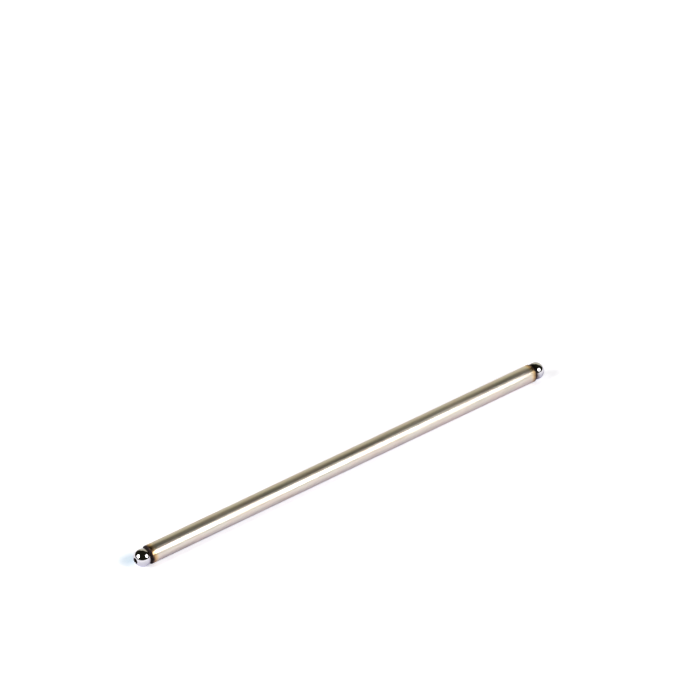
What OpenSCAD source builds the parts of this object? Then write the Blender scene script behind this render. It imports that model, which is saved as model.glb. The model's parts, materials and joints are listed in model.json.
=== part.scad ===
// Welded-ball engine pushrod: a steel tube with a drilled steel ball
// resistance-welded into each mouth, open from end to end as an oil passage.
// The rod lies along X, with its middle at the origin and the lifter end at -X.

/* [Rod] */
// Length over both balls, mm
overall_length = 214; // [140:0.5:280]

/* [Tube] */
// Outside diameter of the tube, mm
tube_od = 7.94; // [7.2:0.01:8.4]
// Wall thickness of the tube, mm
tube_wall = 1.52; // [1.2:0.01:2.2]
// 45 degree chamfer on each outer edge of the tube, mm
edge_chamfer = 0.3; // [0.1:0.05:0.5]

/* [Balls] */
// Diameter of each ball, mm
ball_d = 7.54; // [7.2:0.01:8.6]
// Diameter of the oil hole drilled through each ball, mm
oil_hole_d = 2.4; // [1.2:0.1:3.2]
// Depth of the countersink at both mouths of the oil hole, mm
oil_hole_chamfer = 0.15; // [0.05:0.05:0.4]

/* [Welds] */
// Radial width of the spherical seat that the ball forges into the tube's mouth, mm
seat_width = 0.35; // [0.15:0.05:0.45]
// Reach of the weld's face along the rod, from the tube's end face to its toe on the ball, mm
weld_reach = 0.5; // [0.3:0.02:1]
// Hollow of the weld's face, below the straight line between its two toes, mm
weld_hollow = 0.08; // [0.02:0.01:0.12]

/* [Hidden] */
// Facets of a full turn in a preview; the surfaces themselves are true curves
$fn = 96;
// Straight steps that make up the hollow face of a weld, each a true cone
weld_steps = 4;
// Overshoot of a cutting shape past the surface that it cuts
overcut = 0.25;

tube_r = tube_od / 2;
bore_r = tube_r - tube_wall;
ball_r = ball_d / 2;
oil_hole_r = oil_hole_d / 2;

// Half the distance between the two ball centres
ball_x = overall_length / 2 - ball_r;
// Half the length of the tube, to the nearest micron: its end face cuts the ball at the seat's width
tube_end = round(1000 * (ball_x - sqrt(pow(ball_r, 2) - pow(bore_r + seat_width, 2)))) / 1000;
// Distance of the tube's end face from the ball's centre, and the radius at which it cuts the ball
seat_x = ball_x - tube_end;
seat_r = sqrt(ball_r * ball_r - seat_x * seat_x);

// The weld's face runs from its toe on the ball to its toe on the tube's end face.
// In both points the first value is the radius and the second the distance from the ball's centre.
tube_toe = [tube_r - edge_chamfer, seat_x];
ball_toe_x = seat_x - weld_reach;
ball_toe = [sqrt(ball_r * ball_r - ball_toe_x * ball_toe_x), ball_toe_x];
// The face is an arc over the chord between the toes, with its centre outside the rod
chord = tube_toe - ball_toe;
chord_length = norm(chord);
face_r = (pow(chord_length, 2) / 4 + pow(weld_hollow, 2)) / (2 * weld_hollow);
face_away = [chord[1], -chord[0]] / chord_length;
face_centre = (ball_toe + tube_toe) / 2 + (face_r - weld_hollow) * face_away;
face_mid_angle = atan2(-face_away[1], -face_away[0]);
face_half_angle = asin(chord_length / 2 / face_r);

// Turns a shape made round Z into one round X
module along_x() {
    rotate([0, 90, 0]) children();
}

// Places a shape, drawn with the ball's centre at the origin and the tube towards +X, at the lifter end
module at_lifter_end() {
    translate([-ball_x, 0, 0]) children();
}

// The same at the rocker end, as the mirror image
module at_rocker_end() {
    mirror([1, 0, 0]) at_lifter_end() children();
}

// The tube's wall, drawn once and turned: square ends with a chamfer outside
module tube_wall_profile() {
    polygon([
        [bore_r, -tube_end],
        [tube_r - edge_chamfer, -tube_end],
        [tube_r, edge_chamfer - tube_end],
        [tube_r, tube_end - edge_chamfer],
        [tube_r - edge_chamfer, tube_end],
        [bore_r, tube_end]
    ]);
}

// Drawn steel tube, with a spherical seat for a ball in each mouth
module tube() {
    color([0.72, 0.70, 0.65])
    difference() {
        along_x() rotate_extrude() tube_wall_profile();
        at_lifter_end() sphere(r = ball_r);
        at_rocker_end() sphere(r = ball_r);
    }
}

// Countersink at one mouth of the oil hole, which opens towards -X at the ball's surface
module oil_hole_countersink() {
    mouth_x = sqrt(pow(ball_r, 2) - pow(oil_hole_r, 2));
    along_x() translate([0, 0, -mouth_x - overcut])
        cylinder(
            h = oil_hole_chamfer + overcut,
            r1 = oil_hole_r + oil_hole_chamfer + overcut,
            r2 = oil_hole_r
        );
}

// Hardened steel ball with a countersunk oil hole along the rod
module drilled_ball() {
    difference() {
        sphere(r = ball_r);
        along_x() cylinder(h = ball_d + 2 * overcut, r = oil_hole_r, center = true);
        oil_hole_countersink();
        mirror([1, 0, 0]) oil_hole_countersink();
    }
}

module lifter_ball() {
    color([0.80, 0.81, 0.80]) at_lifter_end() drilled_ball();
}

module rocker_ball() {
    color([0.80, 0.81, 0.80]) at_rocker_end() drilled_ball();
}

// Section of a weld: from the tube's end face along the hollow face to the ball.
// The last step runs straight on into the ball, and the inner side lies inside it.
module weld_profile() {
    face = [
        for (step = [0 : weld_steps])
            let (angle = face_mid_angle + face_half_angle * (2 * step / weld_steps - 1))
                face_centre + face_r * [cos(angle), sin(angle)]
    ];
    last_step = face[weld_steps] - face[weld_steps - 1];
    polygon(concat(
        [[seat_r - overcut, seat_x]],
        face,
        [face[weld_steps] + overcut * last_step / norm(last_step)]
    ));
}

// Ring of weld metal in the groove between the ball and the tube
module weld_ring() {
    difference() {
        along_x() rotate_extrude() weld_profile();
        sphere(r = ball_r);
    }
}

module lifter_weld() {
    color([0.13, 0.11, 0.10]) at_lifter_end() weld_ring();
}

module rocker_weld() {
    color([0.13, 0.11, 0.10]) at_rocker_end() weld_ring();
}

tube();
lifter_ball();
rocker_ball();
lifter_weld();
rocker_weld();
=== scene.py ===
"""Models and dresses one welded-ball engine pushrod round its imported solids, and sets up its studio."""

import json
import math

import bmesh
import bpy
from mathutils import Matrix, Vector


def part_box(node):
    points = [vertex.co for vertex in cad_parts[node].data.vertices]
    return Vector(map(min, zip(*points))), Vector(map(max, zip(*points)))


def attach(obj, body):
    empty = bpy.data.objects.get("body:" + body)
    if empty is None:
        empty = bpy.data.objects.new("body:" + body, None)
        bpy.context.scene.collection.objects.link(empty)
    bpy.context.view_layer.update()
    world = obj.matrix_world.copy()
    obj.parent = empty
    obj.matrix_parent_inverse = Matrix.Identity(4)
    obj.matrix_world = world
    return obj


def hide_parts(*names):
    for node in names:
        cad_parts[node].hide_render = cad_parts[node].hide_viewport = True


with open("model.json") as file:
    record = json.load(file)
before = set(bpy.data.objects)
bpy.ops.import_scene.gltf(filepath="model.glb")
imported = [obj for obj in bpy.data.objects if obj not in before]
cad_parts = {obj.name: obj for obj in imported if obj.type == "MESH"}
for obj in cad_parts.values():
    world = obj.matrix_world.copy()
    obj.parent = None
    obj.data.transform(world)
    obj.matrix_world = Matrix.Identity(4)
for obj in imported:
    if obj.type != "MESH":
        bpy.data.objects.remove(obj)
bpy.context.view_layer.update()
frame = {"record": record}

bl_info = {
    "name": "Engine Pushrod",
    "version": (1, 0, 0),
    "blender": (4, 5, 0),
    "location": "View3D > Sidebar > Pushrod",
    "description": "Models a drilled, welded-ball engine pushrod and the studio that shows it",
    "category": "Add Mesh",
}

MM = 0.001

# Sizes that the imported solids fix, in metres
MOUNTS = {mount["name"]: mount for mount in frame["record"]["mounts"]}
TUBE_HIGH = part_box("tube")[1]
BALL_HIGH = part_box("rocker_ball")[1]
WELD_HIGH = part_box("rocker_weld")[1]
TUBE_RADIUS = MOUNTS["guide_land"]["dims"]["r_mm"] * MM
BALL_RADIUS = MOUNTS["rocker_seat"]["dims"]["r_mm"] * MM
BALL_X = MOUNTS["rocker_seat"]["pos_m"][0]
HOLE_RADIUS = MOUNTS["oil_passage"]["dims"]["r_mm"] * MM

# Camera of the photograph, in the rod's frame
CAMERA_PLACE = Vector((-0.85091, -1.10765, 0.98881))
CAMERA_RIGHT = Vector((0.78311, -0.62155, -0.02029))
CAMERA_UP = Vector((0.35878, 0.42491, 0.83110))
CAMERA_LENS_MM = 213.46
CAMERA_SENSOR_MM = 36.0
CAMERA_CLIP_START = 0.05
CAMERA_CLIP_END = 50.0

# Lamps: place, width of the disk and colour
FRONT_LAMP_PLACE = (0.25, -0.498, 0.350)
FRONT_LAMP_WIDTH = 0.40
SIDE_LAMP_PLACE = (-0.919, 0.192, 0.546)
SIDE_LAMP_WIDTH = 0.62
LAMP_WHITE = (1.0, 0.99, 0.97)

# Length of the floor's edges
FLOOR_EDGE = 12.0
# Middle of the painted patch of the lifter ball's shadow on the floor, past the tube's end and behind the
# rod's axis
SHADE_PAST_END = 0.0042
SHADE_BEHIND = 0.0062

# Heading from the rod to the middle of the pale backdrop
BACKDROP_HEADING = Vector((0.76, 0.65, 0.0))

# Length of the heat tint on the tube and on a ball, in millimetres
TUBE_TINT_MM = 6.0
BALL_TINT_MM = 2.0
# Side of the tube that faces the front lamp, on which the heat tint stops short as a painted highlight, and
# by how many millimetres
PAINTED_HIGHLIGHT_SIDE = Vector((0.0, -0.788, 0.616))
PAINTED_HIGHLIGHT_MM = 0.5

# Scales of the noise in the materials, per millimetre along the rod and across it
DRAWN_LINES = (0.012, 5.0, 5.0)
VARNISH_STREAKS = (0.03, 0.55, 0.55)
VARNISH_CLOUDS = (0.10, 0.25, 0.25)
BLOOM_PATCHES = (0.11, 0.25, 0.25)
TINT_WANDER = (0.5, 0.5, 0.5)
BALL_SCRATCHES = (9.0, 0.9, 2.2)

# Steps of the modelled outlines and roundings, and the angle below which faces are smoothed together
TUBE_SECTIONS = 20
BALL_OUTLINE_STEPS = 256
WELD_ARC_STEPS = 192
SEAT_STEPS = 4
ROUND_STEPS = 3
SMOOTH_ANGLE = math.radians(32)
# Profiles of a bevel whose steps follow an arc, and of one whose steps lie in a straight line
ROUND_PROFILE = 0.5
STRAIGHT_PROFILE = 0.25

# How near to a wanted place a vertex has to lie: in general, on a drawn arc, after a bevel and on a seat
REACH = 2e-6
ARC_REACH = 4e-6
BEVEL_REACH = 1e-5
SEAT_REACH = 2e-5


def length_property(name, description, default):
    """A size in metres."""
    return bpy.props.FloatProperty(
        name=name, description=description, default=default, min=0.0, precision=6,
        subtype="DISTANCE", unit="LENGTH"
    )


def colour_property(name, description, default):
    """A colour in linear red, green and blue."""
    return bpy.props.FloatVectorProperty(
        name=name, description=description, default=default, size=3, min=0.0, max=1.0, subtype="COLOR"
    )


def share_property(name, description, default):
    """A number from 0 to 1."""
    return bpy.props.FloatProperty(
        name=name, description=description, default=default, min=0.0, max=1.0, subtype="FACTOR"
    )


def power_property(name, description, default):
    """A lamp's power in watts."""
    return bpy.props.FloatProperty(
        name=name, description=description, default=default, min=0.0, unit="POWER"
    )


class PushrodSizes(bpy.types.PropertyGroup):
    """Sizes of the rod's pieces"""

    tube_radius: length_property("Tube radius", "Outside radius of the tube", TUBE_RADIUS)
    tube_wall: length_property("Tube wall", "Thickness of the tube's wall", 1.52 * MM)
    tube_end: length_property("Tube end", "Distance from the middle of the rod to the tube's end face",
                              TUBE_HIGH.x)
    edge_chamfer: length_property("Edge chamfer", "Chamfer on the tube's outer edges",
                                  TUBE_RADIUS - WELD_HIGH.z)
    edge_round: length_property("Edge rounding", "Rounding along the edges of the chamfers", 0.05 * MM)
    ball_radius: length_property("Ball radius", "Radius of each ball", BALL_RADIUS)
    ball_x: length_property("Ball place", "Distance from the middle of the rod to a ball's centre", BALL_X)
    hole_radius: length_property("Oil hole radius", "Radius of the hole through each ball", HOLE_RADIUS)
    mouth_x: length_property("Hole mouth", "Distance from a ball's centre to the mouth of its hole",
                             BALL_HIGH.x - BALL_X)
    lip_round: length_property("Lip rounding", "Rounding along the edges of the oil hole's countersink",
                               0.03 * MM)
    weld_toe_x: length_property("Weld toe", "Distance from the middle of the rod to the toe on the ball",
                                WELD_HIGH.x)
    weld_hollow: length_property("Weld hollow", "Depth of the weld's hollow face", 0.08 * MM)
    weld_ripple: length_property("Weld ripple", "Height of the lumps on the weld's face", 0.07 * MM)
    turn_steps: bpy.props.IntProperty(name="Turn steps", description="Faces round the rod",
                                      default=224, min=24, max=512)


class PushrodFinish(bpy.types.PropertyGroup):
    """Colours and polish of the rod's surfaces"""

    tube_steel: colour_property("Tube steel", "Bare satin steel of the tube", (0.80, 0.74, 0.65))
    tube_bloom: colour_property("Bloom", "Faint pink bloom in patches along the tube", (0.82, 0.70, 0.62))
    tube_varnish: colour_property("Varnish", "Thin brown film in streaks along the tube",
                                  (0.60, 0.50, 0.38))
    tube_spots: colour_property("Spots", "Small dark spots on the tube", (0.36, 0.32, 0.27))
    tube_polish: share_property("Tube roughness", "Roughness of the tube's satin surface", 0.33)
    straw_tint: colour_property("Straw tint", "Heat tint outside the brown", (0.70, 0.47, 0.24))
    pale_straw_tint: colour_property("Pale straw tint", "Straw tint that fades", (0.84, 0.69, 0.48))
    faint_tint: colour_property("Faint tint", "Last trace of the heat tint", (0.82, 0.75, 0.63))
    brown_tint: colour_property("Brown tint", "Heat tint next to the weld", (0.17, 0.10, 0.06))
    burnt_tint: colour_property("Burnt tint", "Scale at the very end of the tube", (0.014, 0.010, 0.012))
    ball_steel: colour_property("Ball steel", "Polished steel of the balls", (0.72, 0.71, 0.75))
    ball_dark_tint: colour_property("Ball dark tint", "Heat tint at a ball's weld", (0.06, 0.045, 0.055))
    ball_brown_tint: colour_property("Ball brown tint", "Heat tint outside the dark", (0.30, 0.25, 0.23))
    ball_pale_tint: colour_property("Ball pale tint", "Last trace of the tint", (0.55, 0.53, 0.56))
    ball_haze: colour_property("Ball haze", "Hazy patches on the balls", (0.62, 0.61, 0.64))
    # Painted shade: the near-black colour inside the oil holes stands in for the shade in the bore
    hole_painted_shade: colour_property("Oil hole", "Dark steel inside the oil holes", (0.035, 0.030, 0.028))
    ball_polish: share_property("Ball roughness", "Roughness of the polished balls", 0.05)
    weld_scale: colour_property("Weld scale", "Black scale on the welds", (0.012, 0.010, 0.012))
    weld_brown: colour_property("Weld brown", "Brown patches in the scale", (0.026, 0.016, 0.012))
    weld_blue: colour_property("Weld blue", "Blue patches in the scale", (0.014, 0.014, 0.022))
    weld_rust: colour_property("Weld rust", "Paler brown patches in the scale", (0.045, 0.028, 0.018))


class PushrodStudio(bpy.types.PropertyGroup):
    """Floor, surroundings, lamps and camera"""

    floor_colour: colour_property("Floor", "Colour of the floor", (0.86, 0.86, 0.86))
    floor_glow: colour_property("Floor glow", "Glow of the floor, for the camera", (0.94, 0.93, 1.0))
    # Painted shadow: a faint, cool glow round the lifter ball's shadow, which lets the real shadow show and
    # paints part of it
    painted_shadow_glow: colour_property("Shade glow", "Glow in the lifter ball's shadow", (0.20, 0.42, 0.64))
    # Painted contact shade: close to the rod the metal sees a darker, bluish floor
    mirrored_contact_shade: colour_property("Near mirrored", "Glow in the metal, close to the rod", (0.0, 0.0, 0.12))
    mirrored_far: colour_property("Far mirrored", "Glow in the metal, further away", (0.39, 0.375, 0.42))
    backdrop_low: colour_property("Backdrop low", "Foot of the backdrop", (0.74, 0.73, 0.65))
    backdrop_high: colour_property("Backdrop high", "Top of the backdrop", (0.68, 0.65, 0.47))
    room_dark: colour_property("Room", "Dark room above the backdrop", (0.014, 0.014, 0.008))
    front_power: power_property("Front lamp", "Power of the front lamp", 2.8)
    side_power: power_property("Side lamp", "Power of the side lamp", 11.0)
    lens: bpy.props.FloatProperty(name="Lens", description="Focal length of the camera",
                                  default=CAMERA_LENS_MM, min=1.0, unit="CAMERA")


def clear_selection():
    """Leaves edit mode and deselects every object."""
    if bpy.context.object is not None and bpy.context.object.mode != "OBJECT":
        bpy.ops.object.mode_set(mode="OBJECT")
    bpy.ops.object.select_all(action="DESELECT")


def pick(piece):
    """Makes a piece the only selected object, and the active one."""
    clear_selection()
    piece.select_set(True)
    bpy.context.view_layer.objects.active = piece


def rename(piece, name):
    """Names a piece and its mesh."""
    piece.name = name
    piece.data.name = name


def copy_piece(name):
    """Copies the active piece and its mesh under another name."""
    bpy.ops.object.duplicate(linked=False)
    rename(bpy.context.object, name)
    return bpy.context.object


def settle_primitive(name):
    """Names the new primitive, puts its place into its mesh and opens it for editing."""
    piece = bpy.context.object
    rename(piece, name)
    bpy.ops.object.transform_apply(location=True, rotation=True, scale=True)
    bpy.ops.object.mode_set(mode="EDIT")
    bpy.ops.mesh.select_mode(type="VERT")
    return piece


def select_where(piece, wanted):
    """In edit mode, selects the vertices whose place passes the test."""
    mesh = bmesh.from_edit_mesh(piece.data)
    for vert in mesh.verts:
        vert.select = bool(wanted(vert.co))
    mesh.select_mode = {"VERT"}
    mesh.select_flush_mode()
    bmesh.update_edit_mesh(piece.data)


def radius_of(point):
    """Distance of a point from the rod's axis."""
    return math.hypot(point.y, point.z)


def near(value, target, reach=REACH):
    """Whether two lengths are the same within the reach."""
    return abs(value - target) < reach


def bevel_selected(width, steps, profile=ROUND_PROFILE):
    """Bevels the selected edges."""
    bpy.ops.mesh.bevel(offset_type="OFFSET", offset=width, segments=steps, profile=profile, affect="EDGES",
                       clamp_overlap=False)


def turn_profile(steps):
    """Turns the outline drawn in the XZ plane into a closed surface round X."""
    bpy.ops.mesh.select_all(action="SELECT")
    bpy.ops.mesh.spin(steps=steps, angle=math.tau, center=(0.0, 0.0, 0.0), axis=(1.0, 0.0, 0.0))
    bpy.ops.mesh.select_all(action="SELECT")
    bpy.ops.mesh.remove_doubles(threshold=1e-7)
    bpy.ops.mesh.normals_make_consistent(inside=False)


def extrude_to(start, end):
    """Extrudes the selected vertex from one point of the outline to the next."""
    step = Vector(end) - Vector(start)
    bpy.ops.mesh.extrude_vertices_move(TRANSFORM_OT_translate={"value": step})


def finish_piece(piece, material, node):
    """Smooths the piece, gives it its material, hides the imported part that it stands for and hangs it
    under the root body.
    """
    pick(piece)
    bpy.ops.object.shade_smooth_by_angle(angle=SMOOTH_ANGLE)
    piece.data.materials.clear()
    piece.data.materials.append(material)
    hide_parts(node)
    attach(piece, "root")


class NodeSheet:
    """A new node tree with short calls to add nodes and wire them."""

    def __init__(self, owner):
        owner.use_nodes = True
        self.tree = owner.node_tree
        self.tree.nodes.clear()

    def add(self, kind, inputs=None, **settings):
        """Adds a node; a value in inputs is a constant, or another node's output to wire in."""
        node = self.tree.nodes.new(kind)
        for key, value in settings.items():
            setattr(node, key, value)
        for key, value in (inputs or {}).items():
            self.wire(value, node.inputs[key])
        return node

    def wire(self, value, socket):
        """Sets a socket, or links it if the value is an output."""
        if isinstance(value, bpy.types.NodeSocket):
            self.tree.links.new(value, socket)
        else:
            socket.default_value = value

    def math(self, operation, first, second=0.0, clamp=False):
        """Output of a Math node."""
        node = self.add("ShaderNodeMath", {0: first, 1: second}, operation=operation, use_clamp=clamp)
        return node.outputs["Value"]

    def measure(self, operation, first, second=(0.0, 0.0, 0.0)):
        """Number that a Vector Math node gives."""
        node = self.add("ShaderNodeVectorMath", {0: first, 1: second}, operation=operation)
        return node.outputs["Value"]

    def span(self, value, low, high, to_low=0.0, to_high=1.0, smooth=True):
        """Maps a value from one range to another, held at both ends."""
        node = self.add("ShaderNodeMapRange", {
            "Value": value, "From Min": low, "From Max": high, "To Min": to_low, "To Max": to_high
        }, clamp=True)
        node.interpolation_type = "SMOOTHSTEP" if smooth else "LINEAR"
        return node.outputs["Result"]

    def mix(self, share, first, second, blend="MIX"):
        """Output of a colour Mix node."""
        node = self.add("ShaderNodeMix", data_type="RGBA", blend_type=blend)
        sockets = [socket for socket in node.inputs if socket.enabled]
        for socket, value in zip(sockets, (share, first, second)):
            self.wire(value, socket)
        return next(socket for socket in node.outputs if socket.enabled)

    def noise(self, vector, scale=1.0, detail=2.0, roughness=0.5):
        """Output of a Noise Texture, from 0 to 1."""
        node = self.add("ShaderNodeTexNoise", {
            "Vector": vector, "Scale": scale, "Detail": detail, "Roughness": roughness
        })
        return node.outputs["Fac"]

    def ramp(self, value, stops):
        """Output of a Color Ramp with the given places and colours."""
        node = self.add("ShaderNodeValToRGB", {"Fac": value})
        elements = node.color_ramp.elements
        while len(elements) < len(stops):
            elements.new(1.0)
        for element, (place, colour) in zip(elements, stops):
            element.position = place
            element.color = (*colour, 1.0)
        return node.outputs["Color"]

    def millimetres(self, scale=(1.0, 1.0, 1.0)):
        """Object coordinates in millimetres, stretched by scale."""
        place = self.add("ShaderNodeTexCoord").outputs["Object"]
        factor = [part / MM for part in scale]
        return self.add("ShaderNodeMapping", {"Vector": place, "Scale": factor}).outputs["Vector"]

    def bump(self, height, depth, strength=1.0, normal=None):
        """Output of a Bump node of the given depth in metres."""
        inputs = {"Height": height, "Distance": depth, "Strength": strength}
        if normal is not None:
            inputs["Normal"] = normal
        return self.add("ShaderNodeBump", inputs).outputs["Normal"]


def rgba(colour):
    """A colour property as the four numbers of a colour socket."""
    return (*colour, 1.0)


def tube_heat(sheet, place, sizes):
    """Place in the tube's heat tint: 0 at the end of the tube, 1 where the tint is over."""
    along = sheet.add("ShaderNodeSeparateXYZ", {"Vector": place}).outputs["X"]
    wander = sheet.noise(sheet.millimetres(TINT_WANDER), detail=3.0, roughness=0.6)
    wander = sheet.math("MULTIPLY", sheet.math("SUBTRACT", wander, 0.5), 1.5)
    from_end = sheet.math("SUBTRACT", sizes.tube_end / MM, sheet.math("ABSOLUTE", along))
    # Painted highlight: the tint stops short along the side that faces the front lamp, so the highlight
    # shows whiter there
    lamp_facing = sheet.measure("DOT_PRODUCT", place, PAINTED_HIGHLIGHT_SIDE * MM / sizes.tube_radius)
    from_end = sheet.math("ADD", from_end, sheet.span(lamp_facing, 0.90, 0.99, 0.0, PAINTED_HIGHLIGHT_MM))
    return sheet.math("DIVIDE", sheet.math("ADD", from_end, wander), TUBE_TINT_MM, clamp=True)


def tube_material(sizes, finish):
    """Drawn satin steel with streaks of thin varnish, and heat tint towards each weld, cut short under the
    front lamp's highlight as painted highlight.
    """
    material = bpy.data.materials.new("tube_satin_steel")
    sheet = NodeSheet(material)
    place = sheet.millimetres()
    drawn = sheet.noise(sheet.millimetres(DRAWN_LINES), detail=3.0, roughness=0.6)
    streak = sheet.noise(sheet.millimetres(VARNISH_STREAKS), detail=3.0, roughness=0.55)
    cloud = sheet.noise(sheet.millimetres(VARNISH_CLOUDS))
    speck = sheet.noise(place, scale=3.2, roughness=0.6)
    cloudy = sheet.span(cloud, 0.35, 0.65)
    varnish = sheet.math("MULTIPLY", sheet.span(streak, 0.50, 0.74), cloudy, clamp=True)
    varnish = sheet.math("MULTIPLY", varnish, 0.75)
    bloom = sheet.noise(sheet.millimetres(BLOOM_PATCHES), detail=3.0, roughness=0.6)
    bloomed = sheet.span(bloom, 0.42, 0.62, 0.0, 0.60)
    bare = sheet.mix(bloomed, rgba(finish.tube_steel), rgba(finish.tube_bloom))
    bare = sheet.mix(varnish, bare, rgba(finish.tube_varnish))
    lines = sheet.span(drawn, 0.30, 0.72, 0.90, 1.0)
    grey = sheet.add("ShaderNodeCombineColor", {"Red": lines, "Green": lines, "Blue": lines})
    bare = sheet.mix(1.0, bare, grey.outputs["Color"], "MULTIPLY")
    spots = sheet.span(speck, 0.70, 0.80, 0.0, 0.5)
    bare = sheet.mix(spots, bare, rgba(finish.tube_spots))
    heat = tube_heat(sheet, place, sizes)
    tint = sheet.ramp(heat, (
        (0.00, finish.burnt_tint),
        (0.02, finish.burnt_tint),
        (0.10, finish.brown_tint),
        (0.26, finish.straw_tint),
        (0.40, finish.pale_straw_tint),
        (0.60, finish.faint_tint),
    ))
    reach = sheet.span(heat, 0.36, 0.66, 1.0, 0.0)
    colour = sheet.mix(reach, bare, tint)
    burnt = sheet.span(heat, 0.01, 0.07, 1.0, 0.0)
    rough = sheet.math("ADD", finish.tube_polish, sheet.span(streak, 0.35, 0.75, -0.03, 0.06))
    rough = sheet.math("ADD", rough, sheet.span(drawn, 0.48, 0.62, 0.0, 0.20))
    rough = sheet.math("ADD", rough, sheet.math("MULTIPLY", spots, 0.2))
    rough = sheet.math("ADD", rough, sheet.math("MULTIPLY", burnt, 0.22))
    rough = sheet.math("SUBTRACT", rough, sheet.span(heat, 0.15, 0.70, 0.06, 0.0))
    metal = sheet.math("SUBTRACT", 1.0, burnt)
    normal = sheet.bump(drawn, depth=2.0e-6, strength=0.25)
    normal = sheet.bump(speck, depth=6.0e-6, strength=0.12, normal=normal)
    shader = sheet.add("ShaderNodeBsdfPrincipled", {
        "Base Color": colour, "Roughness": rough, "Metallic": metal, "Normal": normal
    })
    shader.inputs["Specular IOR Level"].default_value = 0.08
    sheet.add("ShaderNodeOutputMaterial", {"Surface": shader.outputs["BSDF"]})
    return material


def ball_material(sizes, finish):
    """Mirror-polished steel, tinted by heat at the weld, with painted shade inside the oil hole."""
    material = bpy.data.materials.new("ball_polished_steel")
    sheet = NodeSheet(material)
    place = sheet.millimetres()
    parts = sheet.add("ShaderNodeSeparateXYZ", {"Vector": place})
    along = sheet.math("ABSOLUTE", parts.outputs["X"])
    across = sheet.add("ShaderNodeCombineXYZ", {"Y": parts.outputs["Y"], "Z": parts.outputs["Z"]})
    radius = sheet.measure("LENGTH", across.outputs["Vector"])
    haze = sheet.noise(place, scale=0.9, detail=3.0, roughness=0.6)
    scratch = sheet.noise(sheet.millimetres(BALL_SCRATCHES), detail=3.0, roughness=0.65)
    wander = sheet.noise(place, scale=1.3)
    wander = sheet.math("MULTIPLY", sheet.math("SUBTRACT", wander, 0.5), 0.5)
    from_toe = sheet.math("ADD", sheet.math("SUBTRACT", along, sizes.weld_toe_x / MM), wander)
    tint = sheet.ramp(sheet.math("DIVIDE", from_toe, BALL_TINT_MM, clamp=True), (
        (0.00, finish.burnt_tint),
        (0.10, finish.ball_dark_tint),
        (0.24, finish.ball_brown_tint),
        (0.50, finish.ball_pale_tint),
        (0.80, finish.ball_steel),
    ))
    worn = sheet.span(haze, 0.35, 0.75, 0.0, 0.35)
    bare = sheet.mix(worn, tint, rgba(finish.ball_haze))
    bare = sheet.mix(sheet.span(from_toe, 0.5, 1.8), tint, bare)
    hole = sizes.hole_radius / MM
    # Painted shade: the bore of the oil hole is coloured near black, and made rougher
    inside = sheet.span(radius, hole + 0.02, hole + 0.10, 1.0, 0.0)
    colour = sheet.mix(inside, bare, rgba(finish.hole_painted_shade))
    rough = sheet.math("ADD", finish.ball_polish, sheet.span(haze, 0.40, 0.80, 0.0, 0.05))
    rough = sheet.math("ADD", rough, sheet.span(from_toe, 0.0, 0.7, 0.30, 0.0))
    rough = sheet.math("ADD", rough, sheet.math("MULTIPLY", inside, 0.45))
    normal = sheet.bump(scratch, depth=0.6e-6, strength=0.10)
    shader = sheet.add("ShaderNodeBsdfPrincipled", {
        "Base Color": colour, "Roughness": rough, "Normal": normal
    })
    shader.inputs["Metallic"].default_value = 1.0
    sheet.add("ShaderNodeOutputMaterial", {"Surface": shader.outputs["BSDF"]})
    return material


def weld_material(finish):
    """Black, slightly shiny weld scale with brown and blue patches."""
    material = bpy.data.materials.new("weld_black_scale")
    sheet = NodeSheet(material)
    place = sheet.millimetres()
    patch = sheet.noise(place, scale=1.1, detail=3.0, roughness=0.6)
    grain = sheet.noise(place, scale=9.0, detail=4.0, roughness=0.65)
    colour = sheet.ramp(patch, (
        (0.30, finish.weld_scale),
        (0.48, finish.weld_brown),
        (0.60, finish.weld_blue),
        (0.74, finish.weld_rust),
    ))
    rough = sheet.span(grain, 0.30, 0.70, 0.50, 0.75)
    normal = sheet.bump(grain, depth=2.5e-5, strength=0.6)
    shader = sheet.add("ShaderNodeBsdfPrincipled", {
        "Base Color": colour, "Roughness": rough, "Normal": normal
    })
    shader.inputs["Metallic"].default_value = 0.0
    shader.inputs["Specular IOR Level"].default_value = 0.06
    sheet.add("ShaderNodeOutputMaterial", {"Surface": shader.outputs["BSDF"]})
    return material


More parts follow.
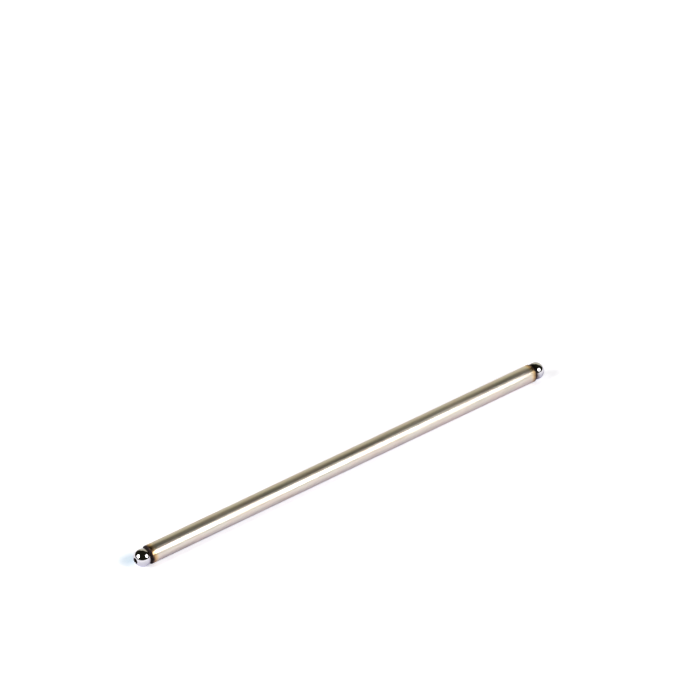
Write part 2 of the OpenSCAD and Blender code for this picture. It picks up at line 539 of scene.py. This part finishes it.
class PUSHROD_OT_tube(bpy.types.Operator):
    """Model the tube, with its bore, chamfered ends and the seats for the balls"""

    bl_idname = "pushrod.tube"
    bl_label = "Tube"

    def execute(self, context):
        """Starts from an open cylinder, thickens it and works both ends."""
        sizes = context.scene.pushrod_sizes
        end = sizes.tube_end
        outer = sizes.tube_radius
        clear_selection()
        bpy.ops.mesh.primitive_cylinder_add(vertices=sizes.turn_steps, radius=outer, depth=2 * end,
                                            end_fill_type="NOTHING", rotation=(0.0, math.pi / 2, 0.0))
        tube = settle_primitive("pushrod_tube")
        for section in range(1, TUBE_SECTIONS):
            bpy.ops.mesh.select_all(action="SELECT")
            cut_x = end * (2 * section / TUBE_SECTIONS - 1)
            bpy.ops.mesh.bisect(plane_co=(cut_x, 0.0, 0.0), plane_no=(1.0, 0.0, 0.0), threshold=1e-8)
        bpy.ops.mesh.select_all(action="SELECT")
        bpy.ops.mesh.normals_make_consistent(inside=False)
        bpy.ops.object.mode_set(mode="OBJECT")
        bpy.ops.object.modifier_add(type="SOLIDIFY")
        wall = tube.modifiers[-1]
        wall.thickness = sizes.tube_wall
        wall.offset = -1.0
        wall.use_even_offset = True
        bpy.ops.object.modifier_apply(modifier=wall.name)
        bpy.ops.object.mode_set(mode="EDIT")
        self.chamfer_ends(tube, sizes)
        self.shape_seats(tube, sizes)
        bpy.ops.object.mode_set(mode="OBJECT")
        finish_piece(tube, tube_material(sizes, context.scene.pushrod_finish), "tube")
        return {"FINISHED"}

    def chamfer_ends(self, tube, sizes):
        """Cuts the outer edges back and rounds the chamfer's own edges a little."""
        end = sizes.tube_end
        outer = sizes.tube_radius
        chamfer = sizes.edge_chamfer
        select_where(tube, lambda p: near(abs(p.x), end) and near(radius_of(p), outer))
        bevel_selected(chamfer, 1)
        select_where(tube, lambda p: near(abs(p.x), end)
                     and near(radius_of(p), outer - chamfer, BEVEL_REACH))
        bevel_selected(sizes.edge_round, ROUND_STEPS)
        select_where(tube, lambda p: near(abs(p.x), end - chamfer, BEVEL_REACH)
                     and near(radius_of(p), outer))
        bevel_selected(sizes.edge_round, ROUND_STEPS)

    def shape_seats(self, tube, sizes):
        """Bevels each mouth and moves the bevel's rings onto the ball's sphere."""
        end = sizes.tube_end
        bore = sizes.tube_radius - sizes.tube_wall
        reach = sizes.ball_x - end
        seat = math.sqrt(sizes.ball_radius**2 - reach**2)
        select_where(tube, lambda p: near(abs(p.x), end) and near(radius_of(p), bore, BEVEL_REACH))
        width = seat - bore
        bevel_selected(width, SEAT_STEPS, STRAIGHT_PROFILE)
        for ring in range(1, SEAT_STEPS + 1):
            ring_radius = seat - width * ring / SEAT_STEPS
            from_ball = math.sqrt(sizes.ball_radius**2 - ring_radius**2)
            ring_x = end - width * ring / SEAT_STEPS
            shift = sizes.ball_x - from_ball - ring_x
            for side in (-1.0, 1.0):
                select_where(tube, lambda p: near(p.x * side, ring_x, SEAT_REACH)
                             and near(radius_of(p), ring_radius, SEAT_REACH))
                bpy.ops.transform.translate(value=(side * shift, 0.0, 0.0))


class PUSHROD_OT_balls(bpy.types.Operator):
    """Model one drilled ball and copy it to the other end"""

    bl_idname = "pushrod.balls"
    bl_label = "Balls"

    def execute(self, context):
        """Draws half the ball's section, turns it and softens the lips of the oil hole."""
        sizes = context.scene.pushrod_sizes
        material = ball_material(sizes, context.scene.pushrod_finish)
        radius = sizes.ball_radius
        hole = sizes.hole_radius
        mouth_x = sizes.mouth_x
        mouth = math.sqrt(radius**2 - mouth_x**2)
        foot_x = mouth_x - (mouth - hole)
        clear_selection()
        bpy.ops.mesh.primitive_circle_add(vertices=BALL_OUTLINE_STEPS, radius=radius, fill_type="NOTHING",
                                          rotation=(math.pi / 2, 0.0, 0.0))
        ball = settle_primitive("rocker_end_ball")
        bpy.ops.mesh.select_all(action="SELECT")
        bpy.ops.mesh.bisect(plane_co=(0.0, 0.0, mouth), plane_no=(0.0, 0.0, 1.0), clear_inner=True,
                            threshold=1e-9)
        outline = [(mouth_x, 0.0, mouth), (foot_x, 0.0, hole)]
        outline += [(foot_x * quarter / 4, 0.0, hole) for quarter in (3, 2, 1, 0, -1, -2, -3)]
        outline += [(-foot_x, 0.0, hole), (-mouth_x, 0.0, mouth)]
        select_where(ball, lambda p: p.x > 0.0 and near(p.z, mouth))
        for start, stop in zip(outline, outline[1:]):
            extrude_to(start, stop)
        bpy.ops.mesh.select_all(action="SELECT")
        bpy.ops.mesh.remove_doubles(threshold=REACH)
        turn_profile(sizes.turn_steps)
        select_where(ball, lambda p: near(abs(p.x), mouth_x, ARC_REACH)
                     and near(radius_of(p), mouth, ARC_REACH))
        bevel_selected(sizes.lip_round, ROUND_STEPS)
        select_where(ball, lambda p: near(abs(p.x), foot_x) and near(radius_of(p), hole))
        bevel_selected(sizes.lip_round, ROUND_STEPS)
        bpy.ops.object.mode_set(mode="OBJECT")
        other = copy_piece("lifter_end_ball")
        for piece, side in ((ball, 1.0), (other, -1.0)):
            pick(piece)
            bpy.ops.object.mode_set(mode="EDIT")
            bpy.ops.mesh.select_all(action="SELECT")
            bpy.ops.transform.translate(value=(side * sizes.ball_x, 0.0, 0.0))
            bpy.ops.object.mode_set(mode="OBJECT")
        finish_piece(ball, material, "rocker_ball")
        finish_piece(other, material, "lifter_ball")
        return {"FINISHED"}


class PUSHROD_OT_welds(bpy.types.Operator):
    """Model one weld ring with its hollow, lumpy face and turn a copy to the other end"""

    bl_idname = "pushrod.welds"
    bl_label = "Welds"

    def execute(self, context):
        """Draws the weld's section from an arc, turns it and raises lumps on its face."""
        sizes = context.scene.pushrod_sizes
        material = weld_material(context.scene.pushrod_finish)
        tube_toe, ball_toe, centre, face_radius, away = self.face_arc(sizes)
        clear_selection()
        bpy.ops.mesh.primitive_circle_add(vertices=WELD_ARC_STEPS, radius=face_radius, fill_type="NOTHING",
                                          location=centre, rotation=(math.pi / 2, 0.0, 0.0))
        weld = settle_primitive("rocker_end_weld")
        bpy.ops.mesh.select_all(action="SELECT")
        bpy.ops.mesh.bisect(plane_co=tube_toe, plane_no=away, clear_outer=True, threshold=1e-9)
        outline = self.buried_side(sizes, tube_toe, ball_toe)
        select_where(weld, lambda p: (p - tube_toe).length < ARC_REACH)
        for start, stop in zip(outline, outline[1:]):
            extrude_to(start, stop)
        bpy.ops.mesh.select_all(action="SELECT")
        bpy.ops.mesh.remove_doubles(threshold=ARC_REACH)
        turn_profile(sizes.turn_steps)
        self.raise_lumps(weld, sizes, centre, face_radius)
        other = copy_piece("lifter_end_weld")
        bpy.ops.object.mode_set(mode="EDIT")
        bpy.ops.mesh.select_all(action="SELECT")
        bpy.ops.transform.rotate(value=math.pi, orient_axis="Z", center_override=(0.0, 0.0, 0.0))
        bpy.ops.object.mode_set(mode="OBJECT")
        finish_piece(weld, material, "rocker_weld")
        finish_piece(other, material, "lifter_weld")
        return {"FINISHED"}

    def face_arc(self, sizes):
        """The two toes of the weld's face, and the circle that its hollow follows."""
        toe_reach = sizes.ball_x - sizes.weld_toe_x
        toe_radius = math.sqrt(sizes.ball_radius**2 - toe_reach**2)
        ball_toe = Vector((sizes.weld_toe_x, 0.0, toe_radius))
        tube_toe = Vector((sizes.tube_end, 0.0, sizes.tube_radius - sizes.edge_chamfer))
        chord = tube_toe - ball_toe
        away = Vector((-chord.z, 0.0, chord.x)).normalized()
        if away.z < 0.0:
            away.negate()
        half = chord.length / 2
        face_radius = (half**2 + sizes.weld_hollow**2) / (2 * sizes.weld_hollow)
        centre = (tube_toe + ball_toe) / 2 + away * (face_radius - sizes.weld_hollow)
        return tube_toe, ball_toe, centre, face_radius, away

    def buried_side(self, sizes, tube_toe, ball_toe):
        """The outline from the tube toe, inside the tube and the ball, back to the ball toe."""
        sunk = 0.04 * MM
        past_bore = 0.42 * MM
        inner = sizes.tube_radius - sizes.tube_wall + past_bore
        ball_centre = Vector((sizes.ball_x, 0.0, 0.0))
        in_tube = tube_toe - Vector((sunk, 0.0, 0.0))
        in_seat = Vector((in_tube.x, 0.0, inner))
        in_ball = Vector(((tube_toe.x + ball_toe.x) / 2, 0.0, inner))
        under_toe = ball_toe + (ball_centre - ball_toe).normalized() * 2 * sunk
        return [tube_toe, in_tube, in_seat, in_ball, under_toe, ball_toe]

    def raise_lumps(self, weld, sizes, centre, face_radius):
        """Displaces the open face by a soft noise."""

        def on_face(point):
            """Whether a point lies on the hollow face."""
            return near(math.hypot(point.x - centre.x, radius_of(point) - centre.z), face_radius)

        select_where(weld, on_face)
        bpy.ops.object.vertex_group_assign_new()
        weld.vertex_groups[-1].name = "face"
        bpy.ops.object.mode_set(mode="OBJECT")
        lumps = bpy.data.textures.new("weld_lumps", type="CLOUDS")
        lumps.noise_scale = 0.8 * MM
        lumps.noise_depth = 2
        bpy.ops.object.modifier_add(type="DISPLACE")
        ripple = weld.modifiers[-1]
        ripple.texture = lumps
        ripple.texture_coords = "LOCAL"
        ripple.vertex_group = "face"
        ripple.strength = sizes.weld_ripple
        ripple.mid_level = 0.45
        bpy.ops.object.modifier_apply(modifier=ripple.name)


class PUSHROD_OT_stage(bpy.types.Operator):
    """Set up the floor, the surroundings, the lamps and the camera"""

    bl_idname = "pushrod.stage"
    bl_label = "Studio"

    def execute(self, context):
        """Makes each part of the studio."""
        studio = context.scene.pushrod_studio
        self.lay_floor(studio, context.scene.pushrod_sizes)
        self.paint_surroundings(context.scene, studio)
        self.hang_lamp("front_lamp", FRONT_LAMP_PLACE, FRONT_LAMP_WIDTH, studio.front_power)
        self.hang_lamp("side_lamp", SIDE_LAMP_PLACE, SIDE_LAMP_WIDTH, studio.side_power)
        self.set_camera(context.scene, studio)
        context.scene.view_settings.view_transform = "Standard"
        return {"FINISHED"}

    def lay_floor(self, studio, sizes):
        """A wide floor that keeps the rod's shadow and shows white to the camera and in the metal, save
        painted shade near the rod in the metal and by the lifter ball.
        """
        clear_selection()
        bpy.ops.mesh.primitive_plane_add(size=FLOOR_EDGE, location=(0.0, 0.0, -sizes.tube_radius))
        floor = bpy.context.object
        floor.name = "studio_floor"
        material = bpy.data.materials.new("floor_white")
        sheet = NodeSheet(material)
        path = sheet.add("ShaderNodeLightPath")
        place = sheet.add("ShaderNodeTexCoord").outputs["Object"]
        parts = sheet.add("ShaderNodeSeparateXYZ", {"Vector": place})
        past_end = sheet.math("SUBTRACT", sheet.math("ABSOLUTE", parts.outputs["X"]), sizes.tube_end)
        past_end = sheet.math("MAXIMUM", past_end, 0.0)
        beside = sheet.add("ShaderNodeCombineXYZ", {"X": past_end, "Y": parts.outputs["Y"]})
        far = sheet.measure("LENGTH", beside.outputs["Vector"])
        glossy = path.outputs["Is Glossy Ray"]
        direct = sheet.math("ADD", path.outputs["Is Camera Ray"], path.outputs["Is Transmission Ray"])
        direct = sheet.math("MULTIPLY", direct, sheet.span(far, 0.06, 0.45, 0.55, 0.85))
        # Painted contact shade: the glow that the metal sees fades to dark blue close to the rod
        apart = sheet.span(far, 0.004, 0.020, smooth=False)
        mirrored = sheet.mix(apart, rgba(studio.mirrored_contact_shade), rgba(studio.mirrored_far))
        # Painted shadow: the glow is faint and cool round a fixed spot where the lifter ball shades the
        # floor, so the real shadow shows there, and part of it and its blue are painted
        shaded = Vector((-sizes.tube_end - SHADE_PAST_END, SHADE_BEHIND, 0.0))
        away = sheet.measure("DISTANCE", place, shaded)
        glow_with_painted_shadow = sheet.mix(sheet.span(away, 0.001, 0.008), rgba(studio.painted_shadow_glow), rgba(studio.floor_glow))
        shade = sheet.mix(glossy, glow_with_painted_shadow, mirrored)
        seen = sheet.math("ADD", direct, glossy)
        matte = sheet.add("ShaderNodeBsdfDiffuse", {"Color": rgba(studio.floor_colour)})
        glow = sheet.add("ShaderNodeEmission", {"Color": shade, "Strength": seen})
        both = sheet.add("ShaderNodeAddShader", {0: matte.outputs["BSDF"], 1: glow.outputs["Emission"]})
        sheet.add("ShaderNodeOutputMaterial", {"Surface": both.outputs["Shader"]})
        floor.data.materials.append(material)

    def paint_surroundings(self, scene, studio):
        """Pale backdrop behind and low all round, dark room above."""
        world = bpy.data.worlds.new("studio_room")
        scene.world = world
        sheet = NodeSheet(world)
        look = sheet.add("ShaderNodeTexCoord").outputs["Generated"]
        parts = sheet.add("ShaderNodeSeparateXYZ", {"Vector": look})
        up = parts.outputs["Z"]
        flat = sheet.add("ShaderNodeCombineXYZ", {"X": parts.outputs["X"], "Y": parts.outputs["Y"]})
        heading = sheet.add("ShaderNodeVectorMath", {0: flat.outputs["Vector"]}, operation="NORMALIZE")
        toward = sheet.measure("DOT_PRODUCT", heading.outputs["Vector"], BACKDROP_HEADING)
        top = sheet.span(toward, 0.66, 0.92, 0.0, 0.72)
        over = sheet.math("SUBTRACT", up, top)
        room = sheet.span(over, -0.08, 0.08)
        high = sheet.span(up, 0.0, 0.60)
        pale = sheet.mix(high, rgba(studio.backdrop_low), rgba(studio.backdrop_high))
        colour = sheet.mix(room, pale, rgba(studio.room_dark))
        background = sheet.add("ShaderNodeBackground", {"Color": colour})
        background.inputs["Strength"].default_value = 1.0
        sheet.add("ShaderNodeOutputWorld", {"Surface": background.outputs["Background"]})

    def hang_lamp(self, name, place, width, power):
        """A round soft lamp that faces the rod."""
        clear_selection()
        aim = (-Vector(place)).to_track_quat("-Z", "Y").to_euler()
        bpy.ops.object.light_add(type="AREA", location=place, rotation=aim)
        lamp = bpy.context.object
        lamp.name = name
        lamp.data.shape = "DISK"
        lamp.data.size = width
        lamp.data.energy = power
        lamp.data.color = LAMP_WHITE

    def set_camera(self, scene, studio):
        """The camera at the photograph's place."""
        clear_selection()
        bpy.ops.object.camera_add()
        camera = bpy.context.object
        camera.name = "photo_camera"
        camera.data.lens = studio.lens
        camera.data.sensor_width = CAMERA_SENSOR_MM
        camera.data.clip_start = CAMERA_CLIP_START
        camera.data.clip_end = CAMERA_CLIP_END
        back = CAMERA_RIGHT.cross(CAMERA_UP)
        turn = Matrix((CAMERA_RIGHT, CAMERA_UP, back)).transposed()
        camera.matrix_world = Matrix.Translation(CAMERA_PLACE) @ turn.to_4x4()
        scene.camera = camera


class PUSHROD_PT_panel(bpy.types.Panel):
    """Buttons and values of the pushrod"""

    bl_idname = "PUSHROD_PT_panel"
    bl_label = "Engine Pushrod"
    bl_space_type = "VIEW_3D"
    bl_region_type = "UI"
    bl_category = "Pushrod"

    def draw(self, context):
        """Lists the operators, then every value."""
        layout = self.layout
        for operator in OPERATORS:
            layout.operator(operator.bl_idname)
        scene = context.scene
        for group in (scene.pushrod_sizes, scene.pushrod_finish, scene.pushrod_studio):
            box = layout.box()
            for name in group.__annotations__:
                box.prop(group, name)


OPERATORS = (PUSHROD_OT_tube, PUSHROD_OT_balls, PUSHROD_OT_welds, PUSHROD_OT_stage)
CLASSES = (PushrodSizes, PushrodFinish, PushrodStudio, *OPERATORS, PUSHROD_PT_panel)


def register():
    """Registers the classes and hangs the values on the scene."""
    for cls in CLASSES:
        bpy.utils.register_class(cls)
    bpy.types.Scene.pushrod_sizes = bpy.props.PointerProperty(type=PushrodSizes)
    bpy.types.Scene.pushrod_finish = bpy.props.PointerProperty(type=PushrodFinish)
    bpy.types.Scene.pushrod_studio = bpy.props.PointerProperty(type=PushrodStudio)


def unregister():
    """Takes away what register made."""
    del bpy.types.Scene.pushrod_studio
    del bpy.types.Scene.pushrod_finish
    del bpy.types.Scene.pushrod_sizes
    for cls in reversed(CLASSES):
        bpy.utils.unregister_class(cls)


def main():
    """Builds the rod and its studio."""
    register()
    bpy.ops.pushrod.tube()
    bpy.ops.pushrod.balls()
    bpy.ops.pushrod.welds()
    bpy.ops.pushrod.stage()


if __name__ == "__main__":
    main()
